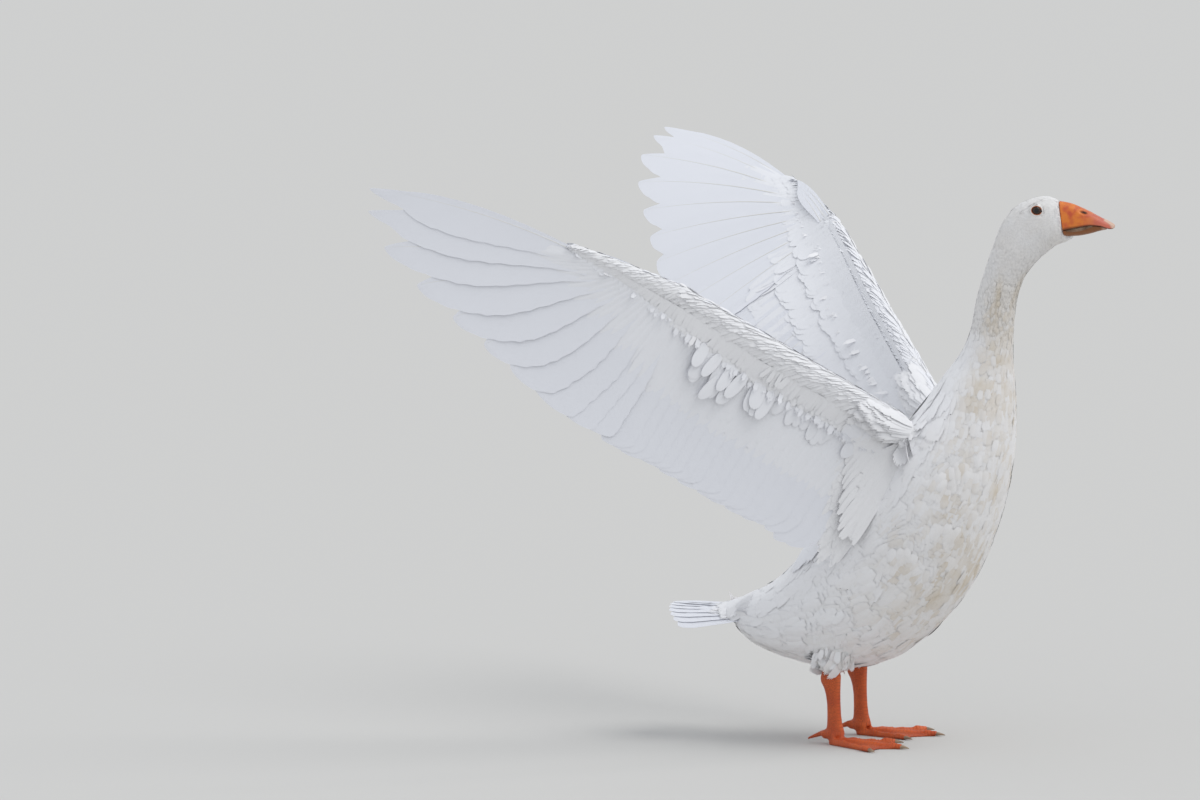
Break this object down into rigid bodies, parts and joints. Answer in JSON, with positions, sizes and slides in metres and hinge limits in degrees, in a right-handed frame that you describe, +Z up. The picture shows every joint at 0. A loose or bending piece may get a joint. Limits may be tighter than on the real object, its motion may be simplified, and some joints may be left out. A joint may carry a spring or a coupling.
{
  "type": "domestic goose, life-size still model",
  "caption": "White domestic goose standing upright with both wings half open, a still life-size display model.",
  "frame": {"origin": "on the floor, below the middle of the object's bounding box", "axes": "+X the way the bird faces, +Y to its left, +Z up"},
  "size_m": [0.7628, 1.055, 0.7013],
  "materials": {
    "plumage": "soft white contour feathers, cream in the deep folds of the breast",
    "flight_feathers": "smooth white vanes with fine barbs, slightly silky",
    "bill": "orange horn, pinker towards a pale nail, satin",
    "eye": "wet black-brown",
    "leg_skin": "red-orange scaly skin, satin",
    "claw": "dull horn"
  },
  "bodies": {
    "root": {"bill_lower": "bill", "bill_upper": "bill", "breast": "plumage", "claw_left_inner": "claw", "claw_left_middle": "claw", "claw_left_outer": "claw", "claw_right_inner": "claw", "claw_right_middle": "claw", "claw_right_outer": "claw", "eye_left": "eye", "eye_right": "eye", "foot_left": "leg_skin", "foot_right": "leg_skin", "head": "plumage", "hind_toe_left": "leg_skin", "hind_toe_right": "leg_skin", "neck_lower": "plumage", "neck_upper": "plumage", "rump": "plumage", "shank_left": "leg_skin", "shank_right": "leg_skin", "tail": "flight_feathers", "thigh_left": "plumage", "thigh_right": "plumage", "trunk": "plumage", "wing_left_alula": "flight_feathers", "wing_left_forearm": "plumage", "wing_left_hand": "plumage", "wing_left_primaries": "flight_feathers", "wing_left_secondaries": "flight_feathers", "wing_left_tertials": "flight_feathers", "wing_left_upper_arm": "plumage", "wing_right_alula": "flight_feathers", "wing_right_forearm": "plumage", "wing_right_hand": "plumage", "wing_right_primaries": "flight_feathers", "wing_right_secondaries": "flight_feathers", "wing_right_tertials": "flight_feathers", "wing_right_upper_arm": "plumage"}
  },
  "joints": []
}
